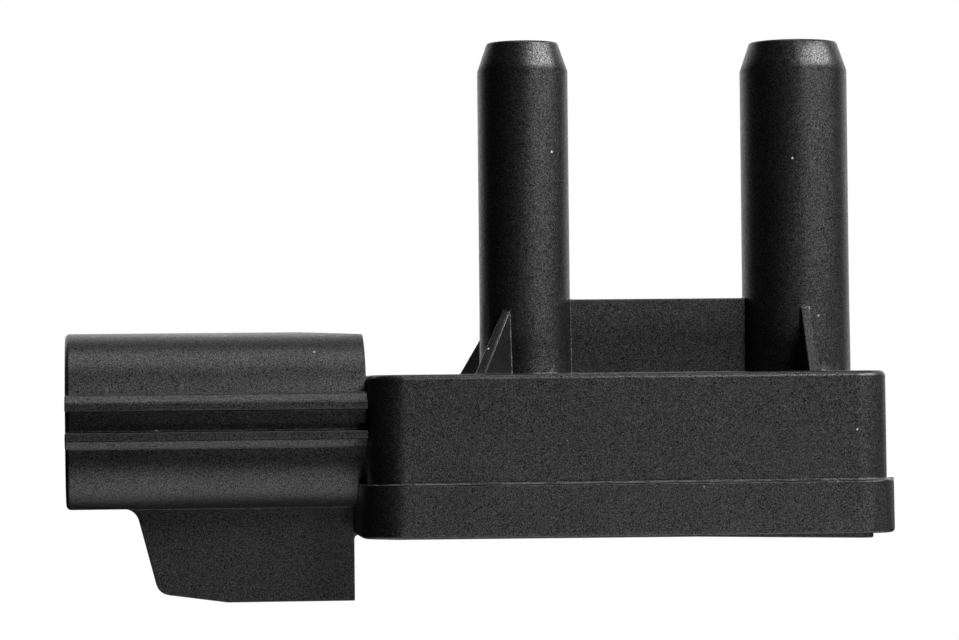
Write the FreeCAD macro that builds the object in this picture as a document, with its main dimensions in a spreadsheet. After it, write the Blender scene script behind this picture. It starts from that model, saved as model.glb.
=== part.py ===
"""Differential pressure sensor for a diesel particulate filter.

The moulded housing carries two upright hose ports, an oval plug socket on its left, a keel under
the socket and a bolt ear at its back. A flat cover closes it from below. Inside, the housing's
shelf and partition are glued to a circuit board, so that the small port's pressure reaches the top
of the sensing die and the large port's pressure reaches its underside.

Frame, in millimetres: +Z up along the bolt, +X towards the large port, the front at -Y. The origin
is on the bolt's axis, in the plane where the steel sleeve stands on its bracket.
"""
import FreeCAD, Part
import math
import os
import re

import Sketcher
from FreeCAD import Placement, Rotation, Vector

SIZES = {
    # Housing box
    "body_length": (44.6, "box along X"),
    "body_depth": (28.0, "box along Y"),
    "body_height": (13.9, "skirt's underside to the box's top"),
    "body_corner": (3.0, "upright corners of the box, seen from above"),
    "top_edge": (0.5, "rounding along the box's top edge"),
    "skirt_height": (4.56, "height of the thicker band along the bottom"),
    "skirt_overhang": (0.68, "how far that band stands out from the box"),
    "ledge_fillet": (0.1, "rounding where the box meets the band"),
    "wall": (2.0, "side walls"),
    "top_wall": (2.0, "top wall"),
    # Hose ports
    "port_spacing": (24.2, "distance between the two ports"),
    "large_port_inset": (5.77, "box's right end to the right port's axis"),
    "port_height": (29.28, "box's top to the ports' tips"),
    "small_port_diameter": (8.0, "left port, outside"),
    "large_port_diameter": (9.5, "right port, outside"),
    "small_port_bore": (4.0, "left port, inside"),
    "large_port_bore": (5.2, "right port, inside"),
    "port_tip_length": (2.55, "length of the tapered tip"),
    "port_tip_inset": (0.88, "how far the tip tapers in"),
    "port_tip_edge": (0.3, "rounding around the tip"),
    "port_foot_flare": (0.06, "how much thicker a port's foot is, beside the web"),
    "web_height": (6.57, "web between the ports"),
    "web_thickness": (2.0, "web between the ports"),
    "gusset_height": (5.6, "triangular ribs at the ports' feet"),
    "gusset_foot": (1.0, "thickness of those ribs at their foot"),
    "gusset_crest": (0.75, "thickness of those ribs at their top"),
    "gusset_root": (1.0, "how deep those ribs are rooted in the port's wall"),
    "small_gusset_reach": (5.6, "ribs at the small port, outwards from its wall"),
    "large_gusset_reach": (4.7, "ribs at the large port, outwards from its wall"),
    "small_gusset_turn": (120.0, "angle from the web to a rib of the small port"),
    "large_gusset_turn": (90.0, "angle from the web to a rib of the large port"),
    # Plug socket
    "shroud_length": (25.7, "socket along X, from the box to its mouth"),
    "shroud_height": (15.24, "socket, outside"),
    "shroud_width": (19.0, "socket, outside"),
    "shroud_side_flat": (1.64, "straight part of the oval's sides"),
    "shroud_wall": (1.6, "socket's wall"),
    "shroud_fall": (0.24, "how far the top dips where it meets the box"),
    "shroud_fall_length": (5.6, "length of that dip"),
    "mouth_chamfer": (0.25, "bevel around the mouth"),
    "connector_drop": (3.76, "box's top to the socket's middle"),
    "socket_depth": (17.0, "mouth to the socket's floor"),
    "rail_gap": (1.8, "groove between the two rails"),
    "rail_face": (0.72, "flat face of a rail"),
    "rail_stand": (2.2, "how far a rail stands out from the socket's side"),
    "rail_bevel": (0.66, "bevel along a rail's outer edge"),
    "rail_root": (1.2, "how deep a rail is rooted in the socket's side"),
    # Keel under the socket
    "keel_thickness": (2.6, "keel along Y"),
    "keel_drop": (5.75, "keel below the skirt's underside"),
    "keel_setback": (5.97, "mouth to the keel, where it meets the socket"),
    "keel_rake": (1.95, "how far its left edge leans to the right"),
    "keel_slope": (6.0, "length of the sloping part of its lower edge"),
    "keel_toe_rise": (0.83, "how far that part climbs towards the toe"),
    "keel_root": (1.0, "how deep the keel is rooted in the socket's wall"),
    "keel_corner": (1.3, "rounding of the keel's toe"),
    "keel_flare": (1.4, "fillet where the toe meets the socket"),
    # Bolt ear and its sleeve
    "ear_reach": (9.0, "bolt's axis to the box's back"),
    "ear_radius": (7.5, "round end of the ear"),
    "ear_flare": (15.0, "angle of the ear's sides"),
    "ear_height": (8.0, "ear along Z"),
    "ear_edge": (0.6, "rounding of the ear's top edge"),
    "sleeve_bore": (6.4, "clearance hole for the bolt"),
    "sleeve_wall": (1.3, "steel sleeve's wall"),
    "sleeve_proud": (0.2, "how far the sleeve stands above the ear"),
    "sleeve_chamfer": (0.3, "bevels at the sleeve's outer ends"),
    "seat_gap": (0.8, "bracket's face to the skirt's underside"),
    # Cover and its seal
    "cover_ledge": (0.93, "ledge around the lower chamber that the cover is glued to"),
    "cover_recess": (1.4, "depth of the recess for the cover"),
    "cover_corner": (1.9, "corners of that recess"),
    "cover_clearance": (0.1, "gap around the cover"),
    "cover_stand_left": (0.08, "how far the cover bulges at its left end"),
    "cover_stand_knee": (0.15, "how far it bulges at the bend"),
    "cover_stand_right": (0.46, "how far it bulges at its right end"),
    "cover_knee": (5.5, "place of the bend, right of the box's middle"),
    "cover_seal_thickness": (0.25, "glue under the recess's floor"),
    "cover_seal_margin": (0.12, "glue line to the edges of its ledge"),
    # Chambers and the board
    "chamber_height": (5.0, "upper chambers, from the shelf to the ceiling"),
    "shelf_width": (1.1, "shelf around the chambers"),
    "cavity_corner": (1.2, "corners of the lower chamber"),
    "chamber_corner": (1.0, "corners of the upper chambers"),
    "partition_thickness": (2.2, "wall between the two upper chambers"),
    "board_thickness": (1.0, "circuit board"),
    "board_clearance": (0.15, "gap around the board"),
    "board_seal_thickness": (0.3, "glue between board and shelf"),
    "board_seal_margin": (0.12, "glue line to the edges of the shelf"),
    "relief_hole": (2.4, "hole that leads the large port's pressure below the board"),
    # Terminals
    "terminal_pitch": (4.0, "distance between terminals"),
    "terminal_width": (1.5, "blade along Y"),
    "terminal_thickness": (0.64, "blade's sheet"),
    "terminal_setback": (6.0, "mouth to the blades' tips"),
    "terminal_tip_length": (1.0, "tapered end of a blade"),
    "terminal_tip": (0.24, "thickness at the very end"),
    "terminal_run": (0.9, "sealant to the middle of the upright leg"),
    "terminal_below": (0.9, "leg below the board"),
    "terminal_bend": (0.4, "inside radius of the bend"),
    "leg_clearance": (0.085, "gap around a leg's corners in its round hole"),
    "solder_reach": (0.55, "solder outwards from the hole"),
    "solder_height": (0.6, "solder below the board"),
    "sealant_thickness": (0.8, "sealant around the terminals, along X"),
    "sealant_height": (2.6, "sealant, along Z"),
    "sealant_margin": (1.4, "sealant beyond the outer blades"),
    # Sensing cell
    "cell_gap": (5.2, "partition to the middle of the cell"),
    "cell_hole": (1.5, "hole in the board below the cell"),
    "glue_side": (3.6, "die glue, a square pad"),
    "glue_thickness": (0.1, "die glue"),
    "pedestal_side": (3.2, "glass pedestal"),
    "pedestal_height": (1.1, "glass pedestal"),
    "pedestal_hole": (0.9, "pressure hole in the pedestal"),
    "die_side": (2.6, "silicon die"),
    "die_height": (0.4, "silicon die"),
    "diaphragm_side": (1.4, "thinned middle of the die"),
    "diaphragm_thickness": (0.06, "thinned middle of the die"),
    "ring_diameter": (8.0, "gel ring, outside"),
    "ring_wall": (0.8, "gel ring"),
    "ring_height": (2.6, "gel ring"),
    "gel_depth": (2.2, "gel over the die"),
    # Components on the board
    "chip_length": (4.9, "signal chip"),
    "chip_width": (3.9, "signal chip"),
    "chip_height": (1.4, "signal chip"),
    "chip_lift": (0.15, "board to the chip's body"),
    "chip_gap": (3.5, "partition to the signal chip's middle"),
    "lead_pitch": (1.27, "signal chip's leads"),
    "lead_width": (0.42, "signal chip's leads"),
    "lead_thickness": (0.2, "signal chip's leads"),
    "lead_reach": (1.05, "lead beyond the chip's side"),
    "lead_foot": (0.6, "flat foot of a lead"),
    "lead_level": (0.75, "board to the middle of a lead where it leaves the chip"),
    "capacitor_length": (3.2, "large capacitors"),
    "capacitor_width": (1.6, "large capacitors"),
    "capacitor_height": (1.2, "large capacitors"),
    "capacitor_gap": (4.6, "terminal legs to the middle of the large capacitors"),
    "small_chip_length": (1.6, "small capacitors and resistors"),
    "small_chip_width": (0.8, "small capacitors and resistors"),
    "filter_height": (0.8, "small capacitors"),
    "resistor_height": (0.45, "resistors"),
    "small_chip_pitch": (2.4, "distance between small components in a row"),
    "filter_gap": (4.6, "chip's middle to the row of small capacitors"),
    "resistor_gap": (6.4, "chip's middle to the row of resistors"),
}

# Places worked out from the sizes, as formulas of the sheet
BODY_LEFT = "(-body_length / 2)"
BODY_RIGHT = "(body_length / 2)"
BODY_BACK = "(-ear_reach)"
BODY_FRONT = "(-ear_reach - body_depth)"
MIDDLE_Y = "(-ear_reach - body_depth / 2)"
UNDERSIDE = "seat_gap"
BODY_TOP = "(seat_gap + body_height)"
LEDGE = "(seat_gap + skirt_height)"
CEILING = "(seat_gap + body_height - top_wall)"
SHELF = f"({CEILING} - chamber_height)"
BOARD_TOP = f"({SHELF} - board_seal_thickness)"
BOARD_UNDERSIDE = f"({BOARD_TOP} - board_thickness)"
RECESS_FLOOR = "(seat_gap + cover_recess)"
COVER_TOP = f"({RECESS_FLOOR} - cover_seal_thickness)"
CONNECTOR_LEVEL = f"({BODY_TOP} - connector_drop)"
SHROUD_CORNER = "((shroud_height - shroud_side_flat) / 2)"
SHROUD_TOP = f"({CONNECTOR_LEVEL} + shroud_height / 2)"
SHROUD_UNDERSIDE = f"({CONNECTOR_LEVEL} - shroud_height / 2)"
MOUTH = f"({BODY_LEFT} - shroud_length)"
SOCKET_FLOOR = f"({MOUTH} + socket_depth)"
LARGE_PORT = f"({BODY_RIGHT} - large_port_inset)"
SMALL_PORT = f"({LARGE_PORT} - port_spacing)"
CHAMBER_INSET = "(wall + shelf_width)"
CHAMBER_LEFT = f"({BODY_LEFT} + {CHAMBER_INSET})"
PARTITION = f"({LARGE_PORT} - port_spacing / 2)"
PARTITION_LEFT = f"({PARTITION} - partition_thickness / 2)"
PARTITION_RIGHT = f"({PARTITION} + partition_thickness / 2)"
RECESS_INSET = "(wall - cover_ledge)"
KEEL_RIGHT = f"({BODY_LEFT} - skirt_overhang)"
LEG_X = f"({CHAMBER_LEFT} + sealant_thickness + terminal_run)"
LEG_HOLE = "(sqrt(terminal_width ^ 2 + terminal_thickness ^ 2) + 2 * leg_clearance)"
CELL_X = f"({PARTITION_LEFT} - cell_gap)"
CHIP_X = f"({PARTITION_RIGHT} + chip_gap)"

TERMINALS = ("terminal_supply", "terminal_signal", "terminal_ground")
UPRIGHT = Rotation()
TOLERANCE = 1e-3

document = FreeCAD.newDocument("pressure_sensor")
sheet = document.addObject("Spreadsheet::Sheet", "sizes")


def fill_sheet():
    """Write each size in a row of its own: name, number, meaning."""
    for row, (name, (number, meaning)) in enumerate(SIZES.items(), 1):
        sheet.set(f"A{row}", name)
        sheet.set(f"B{row}", str(number))
        sheet.set(f"C{row}", meaning)
        sheet.setAlias(f"B{row}", name)
    document.recompute()


def on_sheet(formula):
    """The formula with each size's name pointing at the sheet."""

    def point(word):
        return f"sizes.{word[0]}" if word[0] in SIZES else word[0]

    return re.sub(r"[a-z_]+", point, formula)


def value(formula):
    """What a formula comes to with the sheet's present numbers."""
    return float(sheet.evalExpression(formula))


def bind(thing, **formulas):
    """Bind properties of an object to the sheet."""
    for name, formula in formulas.items():
        thing.setExpression(name, on_sheet(formula))


def put(thing, x, y, z):
    """Bind an object's place to the sheet."""
    thing.Placement = Placement(Vector(value(x), value(y), value(z)), UPRIGHT)
    for axis, formula in zip("xyz", (x, y, z)):
        thing.setExpression(f"Placement.Base.{axis}", on_sheet(formula))


def new_body(name):
    body = document.addObject("PartDesign::Body", name)
    body.Label = name
    return body


def new_sketch(body, name, plane, offset="0"):
    """A sketch on one of the body's own planes, moved along that plane's normal."""
    planes = {feature.Role: feature for feature in body.Origin.OriginFeatures}
    sketch = body.newObject("Sketcher::SketchObject", name)
    sketch.AttachmentSupport = (planes[plane], [""])
    sketch.MapMode = "FlatFace"
    sketch.AttachmentOffset = Placement(Vector(0, 0, value(offset)), UPRIGHT)
    sketch.setExpression("AttachmentOffset.Base.z", on_sheet(offset))
    return sketch


def pin_point(sketch, line, end, x, y):
    """Tie one end of a line or arc to its place, measured from the sketch's origin."""
    for kind, formula in (("DistanceX", x), ("DistanceY", y)):
        number = sketch.addConstraint(Sketcher.Constraint(kind, -1, 1, line, end, value(formula)))
        sketch.setExpression(f"Constraints[{number}]", on_sheet(formula))


def draw_polygon(sketch, corners):
    """A closed outline of straight lines through the corners."""
    first = sketch.GeometryCount
    points = [Vector(value(x), value(y), 0) for x, y in corners]
    count = len(points)
    for index in range(count):
        sketch.addGeometry(Part.LineSegment(points[index], points[(index + 1) % count]), False)
    for index in range(count):
        following = first + (index + 1) % count
        sketch.addConstraint(Sketcher.Constraint("Coincident", first + index, 2, following, 1))
    for index, (x, y) in enumerate(corners):
        pin_point(sketch, first + index, 1, x, y)


def draw_rounded_rectangle(sketch, left, right, low, high, radius):
    """A rectangle with four round corners: each side's ends are pinned, and arcs join them."""
    first = sketch.GeometryCount
    x_turns = (f"{left} + {radius}", f"{right} - {radius}")
    y_turns = (f"{low} + {radius}", f"{high} - {radius}")
    sides = (
        ((x_turns[0], low), (x_turns[1], low)),
        ((right, y_turns[0]), (right, y_turns[1])),
        ((x_turns[1], high), (x_turns[0], high)),
        ((left, y_turns[1]), (left, y_turns[0])),
    )
    centres = (
        (x_turns[1], y_turns[0]),
        (x_turns[1], y_turns[1]),
        (x_turns[0], y_turns[1]),
        (x_turns[0], y_turns[0]),
    )
    for start, end in sides:
        ends = [Vector(value(x), value(y), 0) for x, y in (start, end)]
        sketch.addGeometry(Part.LineSegment(*ends), False)
    for index, (x, y) in enumerate(centres):
        circle = Part.Circle(Vector(value(x), value(y), 0), Vector(0, 0, 1), value(radius))
        turns = [(index - 1) * math.pi / 2, index * math.pi / 2]
        sketch.addGeometry(Part.ArcOfCircle(circle, *turns), False)
    for index, side in enumerate(sides):
        arc = first + 4 + index
        sketch.addConstraint(Sketcher.Constraint("Coincident", first + index, 2, arc, 1))
        sketch.addConstraint(Sketcher.Constraint("Coincident", arc, 2, first + (index + 1) % 4, 1))
        pin_point(sketch, first + index, 1, *side[0])
        pin_point(sketch, first + index, 2, *side[1])
        number = sketch.addConstraint(Sketcher.Constraint("Radius", arc, value(radius)))
        sketch.setExpression(f"Constraints[{number}]", on_sheet(radius))


def draw_around_box(sketch, inset, radius):
    """The housing box's outline, seen from above, moved inwards by the inset."""
    draw_rounded_rectangle(
        sketch,
        f"{BODY_LEFT} + {inset}",
        f"{BODY_RIGHT} - {inset}",
        f"{BODY_FRONT} + {inset}",
        f"{BODY_BACK} - {inset}",
        radius,
    )


def pad(body, sketch, name, length, symmetric=False):
    feature = body.newObject("PartDesign::Pad", name)
    feature.Profile = sketch
    feature.SideType = "Symmetric" if symmetric else "One side"
    bind(feature, Length=length)
    document.recompute()
    return feature


def pocket(body, sketch, name, length, symmetric=False):
    """Cut along the sketch's normal, or to both sides of it."""
    feature = body.newObject("PartDesign::Pocket", name)
    feature.Profile = sketch
    feature.SideType = "Symmetric" if symmetric else "One side"
    feature.Reversed = not symmetric
    bind(feature, Length=length)
    document.recompute()
    return feature


def add_cylinder(body, name, radius, height, x, y, z, cut=False):
    kind = "PartDesign::SubtractiveCylinder" if cut else "PartDesign::AdditiveCylinder"
    feature = body.newObject(kind, name)
    bind(feature, Radius=radius, Height=height)
    put(feature, x, y, z)
    document.recompute()
    return feature


def add_cone(body, name, lower_radius, upper_radius, height, x, y, z):
    feature = body.newObject("PartDesign::AdditiveCone", name)
    bind(feature, Radius1=lower_radius, Radius2=upper_radius, Height=height)
    put(feature, x, y, z)
    document.recompute()
    return feature


def add_box(body, name, length, width, height, x, y, z, cut=False):
    """A block whose place is its corner with the lowest x, y and z."""
    kind = "PartDesign::SubtractiveBox" if cut else "PartDesign::AdditiveBox"
    feature = body.newObject(kind, name)
    bind(feature, Length=length, Width=width, Height=height)
    put(feature, x, y, z)
    document.recompute()
    return feature


def edges_of(feature, test):
    """Names of the edges for which test(edge, middle point) is true."""
    names = []
    for number, edge in enumerate(feature.Shape.Edges, 1):
        middle = edge.valueAt((edge.FirstParameter + edge.LastParameter) / 2)
        if test(edge, middle):
            names.append(f"Edge{number}")
    return names


def same(first, second):
    return abs(first - second) < TOLERANCE


def soften(body, kind, name, test, **sizes):
    """Round or bevel the edges of the body's last feature that pass the test."""
    base = body.Tip
    feature = body.newObject(f"PartDesign::{kind}", name)
    feature.Base = (base, edges_of(base, test))
    bind(feature, **sizes)
    document.recompute()
    return feature


def make_housing():
    """The one-piece moulding, from its outer forms to its holes."""
    body = new_body("housing")
    mould_box(body)
    mould_socket(body)
    mould_keel(body)
    mould_ports(body)
    mould_ear(body)
    cut_chambers(body)
    cut_holes(body)
    return body


def mould_box(body):
    block = new_sketch(body, "block_outline", "XY_Plane", UNDERSIDE)
    draw_around_box(block, "0", "body_corner")
    pad(body, block, "block", "body_height")
    top = value(BODY_TOP)
    soften(body, "Fillet", "block_top_edge", lambda edge, at: same(at.z, top), Radius="top_edge")
    skirt = new_sketch(body, "skirt_outline", "XY_Plane", UNDERSIDE)
    draw_around_box(skirt, "(-skirt_overhang)", "(body_corner + skirt_overhang)")
    pad(body, skirt, "skirt", "skirt_height")
    ledge, front, back = value(LEDGE), value(BODY_FRONT), value(BODY_BACK)
    left, right = value(BODY_LEFT), value(BODY_RIGHT)

    def on_ledge(edge, at):
        along = left - TOLERANCE < at.x < right + TOLERANCE
        across = front - TOLERANCE < at.y < back + TOLERANCE
        return same(at.z, ledge) and along and across

    soften(body, "Fillet", "ledge_rounding", on_ledge, Radius="ledge_fillet")


def mould_socket(body):
    outline = new_sketch(body, "shroud_outline", "YZ_Plane", MOUTH)
    draw_rounded_rectangle(
        outline,
        f"{MIDDLE_Y} - shroud_width / 2",
        f"{MIDDLE_Y} + shroud_width / 2",
        SHROUD_UNDERSIDE,
        SHROUD_TOP,
        SHROUD_CORNER,
    )
    pad(body, outline, "shroud", "shroud_length")
    mouth = value(MOUTH)
    soften(body, "Chamfer", "mouth_bevel", lambda edge, at: same(at.x, mouth), Size="mouth_chamfer")
    dip = new_sketch(body, "shroud_dip_outline", "XZ_Plane", f"-{MIDDLE_Y}")
    draw_polygon(dip, (
        (f"{BODY_LEFT} - shroud_fall_length", SHROUD_TOP),
        (BODY_LEFT, f"{SHROUD_TOP} - shroud_fall"),
        (BODY_LEFT, f"{SHROUD_TOP} + shroud_fall"),
    ))
    pocket(body, dip, "shroud_dip", "shroud_width", symmetric=True)
    for side in ("front", "back"):
        for level in ("upper", "lower"):
            mould_rail(body, side, level)
    socket = new_sketch(body, "socket_outline", "YZ_Plane", MOUTH)
    draw_rounded_rectangle(
        socket,
        f"{MIDDLE_Y} - shroud_width / 2 + shroud_wall",
        f"{MIDDLE_Y} + shroud_width / 2 - shroud_wall",
        f"{SHROUD_UNDERSIDE} + shroud_wall",
        f"{SHROUD_TOP} - shroud_wall",
        f"({SHROUD_CORNER} - shroud_wall)",
    )
    pocket(body, socket, "socket", "socket_depth")


def mould_rail(body, side, level):
    """One guide rail: level flanks and a flat face, with a bevel along its outer edge."""
    out, back = ("-", "+") if side == "front" else ("+", "-")
    up = "+" if level == "upper" else "-"
    face = f"{MIDDLE_Y} {out} (shroud_width / 2 + rail_stand)"
    root = f"{MIDDLE_Y} {out} (shroud_width / 2 - rail_root)"
    groove = f"{CONNECTOR_LEVEL} {up} rail_gap / 2"
    outer = f"{CONNECTOR_LEVEL} {up} (rail_gap / 2 + rail_face)"
    bevel_start = f"({face}) {back} rail_bevel"
    flank = f"{outer} {up} rail_bevel"
    outline = new_sketch(body, f"{side}_{level}_rail_outline", "YZ_Plane", MOUTH)
    draw_polygon(
        outline, ((root, groove), (face, groove), (face, outer), (bevel_start, flank), (root, flank))
    )
    pad(body, outline, f"{side}_{level}_rail", "shroud_length")


def mould_keel(body):
    """A flat fin whose left edge leans and whose lower edge climbs towards the toe."""
    underside = f"({UNDERSIDE} - keel_drop)"
    toe = (f"{MOUTH} + keel_setback + keel_rake", f"({underside} + keel_toe_rise)")
    root = (f"{MOUTH} + keel_setback", SHROUD_UNDERSIDE)
    lean = f"keel_rake / ({root[1]} - {toe[1]})"
    outline = new_sketch(body, "keel_outline", "XZ_Plane", f"-{MIDDLE_Y}")
    draw_polygon(outline, (
        (KEEL_RIGHT, underside),
        (KEEL_RIGHT, f"{SHROUD_UNDERSIDE} + keel_root"),
        (f"{root[0]} - keel_root * {lean}", f"{SHROUD_UNDERSIDE} + keel_root"),
        toe,
        (f"{toe[0]} + keel_slope", underside),
    ))
    pad(body, outline, "keel", "keel_thickness", symmetric=True)
    round_keel_edge(body, "keel_toe_rounding", toe, "keel_corner")
    round_keel_edge(body, "keel_flare_rounding", root, "keel_flare")


def round_keel_edge(body, name, place, radius):
    """Round the edge that runs along Y through a point of the keel's outline."""
    x, z = value(place[0]), value(place[1])
    soften(body, "Fillet", name, lambda edge, at: same(at.x, x) and same(at.z, z), Radius=radius)


def mould_ports(body):
    """Both ports, the web between them and the ribs at their feet.

    A port is a slightly thicker foot beside the web, a straight part for the hose and a tapered tip.
    """
    root, web_top = f"{BODY_TOP} - top_wall / 2", f"{BODY_TOP} + web_height"
    foot_height = "web_height + top_wall / 2"
    add_box(
        body, "web", f"{LARGE_PORT} - {SMALL_PORT}", "web_thickness", foot_height,
        SMALL_PORT, f"{MIDDLE_Y} - web_thickness / 2", root,
    )
    ports = (("small", SMALL_PORT, "0"), ("large", LARGE_PORT, "-180"))
    for name, x, web_side in ports:
        radius = f"{name}_port_diameter / 2"
        straight = "port_height - port_tip_length"
        foot = f"{name}_port_foot"
        add_cone(body, foot, f"{radius} + port_foot_flare", radius, foot_height, x, MIDDLE_Y, root)
        add_cylinder(body, f"{name}_port", radius, f"{straight} - web_height", x, MIDDLE_Y, web_top)
        tip, tip_foot = f"{name}_port_tip", f"{BODY_TOP} + {straight}"
        add_cone(body, tip, radius, f"{radius} - port_tip_inset", "port_tip_length", x, MIDDLE_Y, tip_foot)
        for side, sign in (("front", "-"), ("back", "+")):
            mould_gusset(body, name, side, x, f"{web_side} {sign} {name}_gusset_turn")
    tips = value(f"{BODY_TOP} + port_height")
    soften(body, "Fillet", "port_tip_rounding", lambda edge, at: same(at.z, tips), Radius="port_tip_edge")


def mould_gusset(body, port, side, x, turn):
    """A triangular rib that leans on the port, thinner at its top than at its foot."""
    rib = body.newObject("PartDesign::AdditiveWedge", f"{port}_port_{side}_rib")
    radius = f"{port}_port_diameter / 2"
    inner = f"{radius} - gusset_root"
    bind(
        rib,
        Xmin=inner, Xmax=f"{radius} + {port}_gusset_reach",
        X2min=inner, X2max=radius,
        Ymin="0", Ymax="gusset_height",
        Zmin="-gusset_foot / 2", Zmax="gusset_foot / 2",
        Z2min="-gusset_crest / 2", Z2max="gusset_crest / 2",
    )
    turned = f"rotation(vector(0; 0; 1); {on_sheet(turn)}) * rotation(vector(1; 0; 0); 90)"
    place = "; ".join(on_sheet(formula) for formula in (x, MIDDLE_Y, BODY_TOP))
    rib.setExpression("Placement", f"placement(vector({place}); {turned})")
    document.recompute()


def mould_ear(body):
    """The bolt ear: a round end, and flared sides that run into the box's back."""
    add_cylinder(body, "ear_end", "ear_radius", "ear_height", "0", "0", UNDERSIDE)
    root = "ear_radius * cos(ear_flare) + (ear_reach + ear_radius * sin(ear_flare)) * tan(ear_flare)"
    arm = body.newObject("PartDesign::AdditiveWedge", "ear_arm")
    bind(
        arm,
        Xmin=f"-({root})", Xmax=root,
        X2min="-ear_radius * cos(ear_flare)", X2max="ear_radius * cos(ear_flare)",
        Ymin="-ear_reach", Ymax="ear_radius * sin(ear_flare)",
        Zmin="0", Zmax="ear_height", Z2min="0", Z2max="ear_height",
    )
    put(arm, "0", "0", UNDERSIDE)
    document.recompute()
    top, back = value(f"{UNDERSIDE} + ear_height"), value(BODY_BACK)
    soften(
        body, "Fillet", "ear_rounding",
        lambda edge, at: same(at.z, top) and at.y > back + TOLERANCE, Radius="ear_edge",
    )


def cut_chambers(body):
    """The cover's recess, the lower chamber and the two upper chambers, all open to below."""
    recess = new_sketch(body, "recess_outline", "XY_Plane", UNDERSIDE)
    draw_around_box(recess, RECESS_INSET, "cover_corner")
    pocket(body, recess, "recess", "cover_recess")
    cavity = new_sketch(body, "cavity_outline", "XY_Plane", UNDERSIDE)
    draw_around_box(cavity, "wall", "cavity_corner")
    pocket(body, cavity, "cavity", f"{SHELF} - {UNDERSIDE}")
    ends = {
        "small_chamber": (CHAMBER_LEFT, PARTITION_LEFT),
        "large_chamber": (PARTITION_RIGHT, f"{BODY_RIGHT} - {CHAMBER_INSET}"),
    }
    for name, (left, right) in ends.items():
        chamber = new_sketch(body, f"{name}_outline", "XY_Plane", SHELF)
        front, back = f"{BODY_FRONT} + {CHAMBER_INSET}", f"{BODY_BACK} - {CHAMBER_INSET}"
        draw_rounded_rectangle(chamber, left, right, front, back, "chamber_corner")
        pocket(body, chamber, name, f"{CEILING} - {SHELF}")


def cut_holes(body):
    """The ports' bores, the sleeve's seat and a slot for each terminal."""
    for name, x in (("small", SMALL_PORT), ("large", LARGE_PORT)):
        depth, bottom = "port_height + 3 * top_wall", f"{CEILING} - top_wall"
        add_cylinder(body, f"{name}_bore", f"{name}_port_bore / 2", depth, x, MIDDLE_Y, bottom, cut=True)
    sleeve = "sleeve_bore / 2 + sleeve_wall"
    add_cylinder(body, "sleeve_seat", sleeve, "ear_height + 2 * seat_gap", "0", "0", "0", cut=True)
    for index, name in enumerate(TERMINALS):
        add_box(
            body, f"{name}_slot", f"{CHAMBER_LEFT} - {SOCKET_FLOOR} + wall", "terminal_width",
            "terminal_thickness", f"{SOCKET_FLOOR} - wall / 2",
            f"{terminal_y(index)} - terminal_width / 2",
            f"{CONNECTOR_LEVEL} - terminal_thickness / 2", cut=True,
        )


def terminal_y(index):
    """Terminals stand side by side about the socket's middle."""
    return f"({MIDDLE_Y} + {index - 1} * terminal_pitch)"


def make_cover():
    """A flat lid whose underside bows a little towards its right end."""
    body = new_body("bottom_cover")
    gap = f"({RECESS_INSET} + cover_clearance)"
    left, right = f"{BODY_LEFT} + {gap}", f"{BODY_RIGHT} - {gap}"
    side = new_sketch(body, "cover_side", "XZ_Plane", f"-{MIDDLE_Y}")
    draw_polygon(side, (
        (left, f"{UNDERSIDE} - cover_stand_left"),
        ("cover_knee", f"{UNDERSIDE} - cover_stand_knee"),
        (right, f"{UNDERSIDE} - cover_stand_right"),
        (right, COVER_TOP),
        (left, COVER_TOP),
    ))
    pad(body, side, "cover_plate", f"body_depth - 2 * {gap}", symmetric=True)
    ends = (value(left), value(right))

    def upright(edge, at):
        return any(same(at.x, end) for end in ends) and edge.BoundBox.ZLength > edge.BoundBox.YLength

    soften(body, "Fillet", "cover_corners", upright, Radius="cover_corner - cover_clearance")
    return body


def make_cover_seal():
    body = new_body("cover_seal")
    ring = new_sketch(body, "seal_outline", "XY_Plane", COVER_TOP)
    outer = f"({RECESS_INSET} + cover_clearance + cover_seal_margin)"
    draw_around_box(ring, outer, "(cover_corner - cover_clearance)")
    draw_around_box(ring, "(wall - cover_seal_margin)", "(cavity_corner + cover_seal_margin)")
    pad(body, ring, "seal", "cover_seal_thickness")
    return body


def make_board_seal():
    """Glue on the shelf and under the partition, with a window for each upper chamber."""
    body = new_body("board_seal")
    ring = new_sketch(body, "bead_outline", "XY_Plane", BOARD_TOP)
    draw_around_box(ring, "(wall + board_clearance)", "(cavity_corner - board_clearance)")
    inset = f"({CHAMBER_INSET} - board_seal_margin)"
    front, back = f"{BODY_FRONT} + {inset}", f"{BODY_BACK} - {inset}"
    windows = (
        (f"{BODY_LEFT} + {inset}", f"{PARTITION_LEFT} + board_seal_margin"),
        (f"{PARTITION_RIGHT} - board_seal_margin", f"{BODY_RIGHT} - {inset}"),
    )
    for left, right in windows:
        draw_rounded_rectangle(ring, left, right, front, back, "(chamber_corner + board_seal_margin)")
    pad(body, ring, "bead", "board_seal_thickness")
    return body


def make_board():
    body = new_body("circuit_board")
    outline = new_sketch(body, "board_outline", "XY_Plane", BOARD_UNDERSIDE)
    draw_around_box(outline, "(wall + board_clearance)", "(cavity_corner - board_clearance)")
    pad(body, outline, "board", "board_thickness")
    holes = [(name, LEG_HOLE, LEG_X, terminal_y(index)) for index, name in enumerate(TERMINALS)]
    holes.append(("cell", "cell_hole", CELL_X, MIDDLE_Y))
    holes.append(("relief", "relief_hole", LARGE_PORT, MIDDLE_Y))
    for name, diameter, x, y in holes:
        depth, bottom = "3 * board_thickness", f"{BOARD_UNDERSIDE} - board_thickness"
        add_cylinder(body, f"{name}_hole", f"{diameter} / 2", depth, x, y, bottom, cut=True)
    return body


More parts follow.
